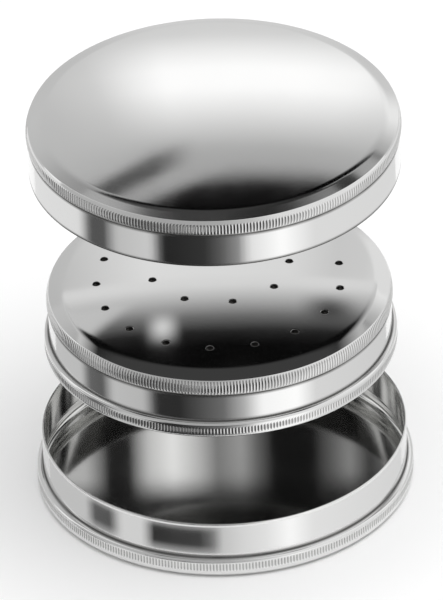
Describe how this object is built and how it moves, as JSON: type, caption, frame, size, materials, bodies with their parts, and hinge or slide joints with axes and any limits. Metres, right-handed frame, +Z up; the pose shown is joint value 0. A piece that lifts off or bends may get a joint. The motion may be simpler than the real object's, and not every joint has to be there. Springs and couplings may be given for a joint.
{
  "type": "needle sterilization box",
  "caption": "Round plated metal box for sterilizing needles: shallow base pan, perforated insert with drain holes and slip-on domed lid, shown apart.",
  "frame": {"origin": "centre of the base pan's underside, on the plane that the box stands on", "axes": "+Z up along the axis that all three pieces share; the pieces are round, so X and Y matter only to the drain holes, whose inner ring is set back towards +Y"},
  "size_m": [0.0924, 0.0924, 0.1075],
  "materials": {
    "plated_base": "polished",
    "plated_insert": "polished",
    "plated_lid": "polished"
  },
  "bodies": {
    "base": {"base_pan": "plated_base"},
    "insert": {"perforated_insert": "plated_insert"},
    "cover": {"lid": "plated_lid"}
  },
  "joints": [
    {"name": "insert_lift", "type": "slide", "parent": "base", "child": "insert", "axis": [0, 0, 1], "range_m": [-0.03865, 0]},
    {"name": "lid_lift", "type": "slide", "parent": "insert", "child": "cover", "axis": [0, 0, 1], "range_m": [-0.0467, 0]}
  ]
}
